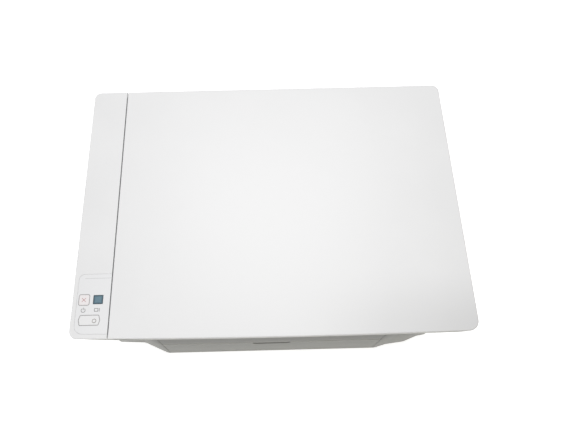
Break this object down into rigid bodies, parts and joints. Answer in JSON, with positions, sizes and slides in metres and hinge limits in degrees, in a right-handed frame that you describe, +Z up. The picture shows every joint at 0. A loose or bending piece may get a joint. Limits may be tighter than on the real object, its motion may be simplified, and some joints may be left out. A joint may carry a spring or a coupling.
{
  "type": "inkjet printer",
  "caption": "Flat all-in-one inkjet printer: hinged scanner lid, control strip with buttons and display, front tray and cartridge door, rear paper support.",
  "frame": {"origin": "centre of the footprint, on the table", "axes": "+X left to right, the front faces -Y, +Z up"},
  "size_m": [0.425, 0.312, 0.149],
  "materials": {
    "white_shell": "fine satin, moulded",
    "grey_shell": "fine moulded grain",
    "panel_inlay": "satin",
    "button_face": "satin",
    "display_glass": "clear over a teal display",
    "clear_glass": "flat polished",
    "pad_white": "white film on foam",
    "inner_light": "moulded",
    "inner_dark": "moulded",
    "ink_case": "moulded",
    "latch_blue": "moulded",
    "gear_plastic": "moulded acetal",
    "rubber": "matt",
    "steel": "zinc plated",
    "circuit": "solder mask",
    "cable_white": "ribbon",
    "felt": "felt"
  },
  "bodies": {
    "printer_body": {"base_case": "grey_shell", "mid_case": "grey_shell", "scanner_housing": "grey_shell", "rubber_feet": "rubber", "frame_screws": "steel", "platen_glass": "clear_glass", "drive_belts": "rubber", "scan_motor": "steel", "scan_rod": "steel", "control_strip": "white_shell", "control_panel": "panel_inlay", "lcd_window": "display_glass", "control_board": "circuit", "frame_plates": "steel", "cross_beam": "steel", "carriage_rod": "steel", "carriage_motor": "steel", "feed_motor": "steel", "pinch_frame": "inner_dark", "star_wheel_bar": "inner_dark", "paper_ramp": "inner_dark", "platen": "inner_dark", "waste_ink_pad": "felt", "output_chute": "inner_dark", "service_station": "inner_dark", "power_supply": "inner_dark", "power_inlet": "inner_dark", "main_board": "circuit", "flat_cables": "cable_white"},
    "lid": {"lid_cover": "white_shell", "lid_liner": "inner_light", "lid_pad": "pad_white"},
    "scan_head": {"scan_bar": "inner_dark"},
    "scan_drive": {"scan_drive_pulley": "gear_plastic"},
    "scan_idler": {"scan_idler_pulley": "gear_plastic"},
    "cancel_key": {"cancel_button": "button_face"},
    "start_key": {"start_button": "button_face"},
    "tray": {"output_tray": "grey_shell"},
    "tray_slide": {"tray_extension": "inner_light"},
    "stop": {"paper_stop": "inner_light"},
    "door": {"cartridge_door": "grey_shell"},
    "support": {"paper_support": "grey_shell"},
    "support_slide": {"paper_support_extension": "inner_light"},
    "width_guide": {"paper_width_guide": "inner_light"},
    "carriage": {"print_carriage": "inner_dark"},
    "black_ink": {"black_cartridge": "ink_case"},
    "colour_ink": {"colour_cartridge": "ink_case"},
    "black_latch": {"black_cartridge_latch": "latch_blue"},
    "colour_latch": {"colour_cartridge_latch": "latch_blue"},
    "carriage_drive": {"carriage_drive_pulley": "gear_plastic"},
    "carriage_idler": {"carriage_idler_pulley": "gear_plastic"},
    "feed": {"feed_roller": "steel", "feed_gear": "gear_plastic"},
    "idler": {"idler_gear": "gear_plastic"},
    "output": {"output_roller": "steel"},
    "pinion": {"motor_pinion": "gear_plastic"},
    "pinch": {"pinch_rollers": "rubber"},
    "stars": {"star_wheels": "gear_plastic"},
    "pick": {"pick_roller": "rubber"},
    "sled": {"service_sled": "inner_dark"}
  },
  "joints": [
    {"name": "lid_hinge", "type": "hinge", "parent": "printer_body", "child": "lid", "pos_m": [0, 0.144, 0.1458], "axis": [-1, 0, 0], "range_deg": [0, 88]},
    {"name": "scan_travel", "type": "slide", "parent": "printer_body", "child": "scan_head", "axis": [1, 0, 0], "range_m": [0, 0.275]},
    {"name": "scan_drive_turn", "type": "hinge", "parent": "printer_body", "child": "scan_drive", "pos_m": [0.1645, -0.035, 0.108], "axis": [0, 0, -1], "range_deg": [0, 3428]},
    {"name": "scan_idler_turn", "type": "hinge", "parent": "printer_body", "child": "scan_idler", "pos_m": [-0.1605, -0.035, 0.108], "axis": [0, 0, -1], "range_deg": [0, 3428]},
    {"name": "cancel_press", "type": "slide", "parent": "printer_body", "child": "cancel_key", "axis": [0, 0, -1], "range_m": [0, 0.001], "stiffness_N_per_m": 150, "springref_m": -0.002},
    {"name": "start_press", "type": "slide", "parent": "printer_body", "child": "start_key", "axis": [0, 0, -1], "range_m": [0, 0.001], "stiffness_N_per_m": 150, "springref_m": -0.002},
    {"name": "tray_hinge", "type": "hinge", "parent": "printer_body", "child": "tray", "pos_m": [0, -0.1435, 0.0095], "axis": [1, 0, 0], "range_deg": [0, 85]},
    {"name": "tray_extension_travel", "type": "slide", "parent": "tray", "child": "tray_slide", "axis": [0, 0, 1], "range_m": [0, 0.038]},
    {"name": "paper_stop_hinge", "type": "hinge", "parent": "tray_slide", "child": "stop", "pos_m": [-0.002, -0.1401, 0.0552], "axis": [1, 0, 0], "range_deg": [0, 90]},
    {"name": "door_hinge", "type": "hinge", "parent": "printer_body", "child": "door", "pos_m": [0, -0.1435, 0.065], "axis": [1, 0, 0], "range_deg": [0, 75]},
    {"name": "support_hinge", "type": "hinge", "parent": "printer_body", "child": "support", "pos_m": [-0.002, 0.1545, 0.042], "axis": [-1, 0, 0], "range_deg": [0, 22]},
    {"name": "support_extension_travel", "type": "slide", "parent": "support", "child": "support_slide", "axis": [0, 0, 1], "range_m": [0, 0.07]},
    {"name": "width_guide_travel", "type": "slide", "parent": "support", "child": "width_guide", "axis": [1, 0, 0], "range_m": [0, 0.06]},
    {"name": "carriage_travel", "type": "slide", "parent": "printer_body", "child": "carriage", "axis": [-1, 0, 0], "range_m": [0, 0.264]},
    {"name": "carriage_drive_turn", "type": "hinge", "parent": "printer_body", "child": "carriage_drive", "pos_m": [0.168, 0.066, 0.076], "axis": [0, 0, -1], "range_deg": [0, 2294]},
    {"name": "carriage_idler_turn", "type": "hinge", "parent": "printer_body", "child": "carriage_idler", "pos_m": [-0.156, 0.066, 0.076], "axis": [0, 0, -1], "range_deg": [0, 2294]},
    {"name": "black_cartridge_travel", "type": "slide", "parent": "carriage", "child": "black_ink", "axis": [0, -1, 0], "range_m": [0, 0.014]},
    {"name": "colour_cartridge_travel", "type": "slide", "parent": "carriage", "child": "colour_ink", "axis": [0, -1, 0], "range_m": [0, 0.014]},
    {"name": "black_latch_hinge", "type": "hinge", "parent": "carriage", "child": "black_latch", "pos_m": [0.1654, -0.0044, 0.0894], "axis": [-1, 0, 0], "range_deg": [0, 45]},
    {"name": "colour_latch_hinge", "type": "hinge", "parent": "carriage", "child": "colour_latch", "pos_m": [0.1306, -0.0044, 0.0894], "axis": [-1, 0, 0], "range_deg": [0, 45]},
    {"name": "feed_turn", "type": "hinge", "parent": "printer_body", "child": "feed", "pos_m": [0, 0.052, 0.0344], "axis": [1, 0, 0], "continuous": true},
    {"name": "idler_turn", "type": "hinge", "parent": "printer_body", "child": "idler", "pos_m": [0, 0.007, 0.0344], "axis": [1, 0, 0], "continuous": true},
    {"name": "output_turn", "type": "hinge", "parent": "printer_body", "child": "output", "pos_m": [0, -0.038, 0.0344], "axis": [1, 0, 0], "continuous": true},
    {"name": "pinion_turn", "type": "hinge", "parent": "printer_body", "child": "pinion", "pos_m": [0, 0.079, 0.0344], "axis": [1, 0, 0], "continuous": true},
    {"name": "pinch_turn", "type": "hinge", "parent": "printer_body", "child": "pinch", "pos_m": [0, 0.052, 0.0442], "axis": [1, 0, 0], "continuous": true},
    {"name": "star_turn", "type": "hinge", "parent": "printer_body", "child": "stars", "pos_m": [0, -0.038, 0.0447], "axis": [1, 0, 0], "continuous": true},
    {"name": "pick_turn", "type": "hinge", "parent": "printer_body", "child": "pick", "pos_m": [0, 0.108, 0.0583], "axis": [1, 0, 0], "continuous": true},
    {"name": "sled_travel", "type": "slide", "parent": "printer_body", "child": "sled", "axis": [0, -1, 0], "range_m": [0, 0.018]}
  ],
  "couplings": [
    {"joint": "scan_drive_turn", "follows": "scan_travel", "rad_per_m": 217.39},
    {"joint": "scan_idler_turn", "follows": "scan_travel", "rad_per_m": 217.39},
    {"joint": "carriage_drive_turn", "follows": "carriage_travel", "rad_per_m": 151.52},
    {"joint": "carriage_idler_turn", "follows": "carriage_travel", "rad_per_m": 151.52},
    {"joint": "idler_turn", "follows": "feed_turn", "ratio": -0.8},
    {"joint": "output_turn", "follows": "feed_turn", "ratio": 1},
    {"joint": "pinion_turn", "follows": "feed_turn", "ratio": -2.8571},
    {"joint": "pinch_turn", "follows": "feed_turn", "ratio": -1.7143},
    {"joint": "star_turn", "follows": "feed_turn", "ratio": -1.5}
  ]
}
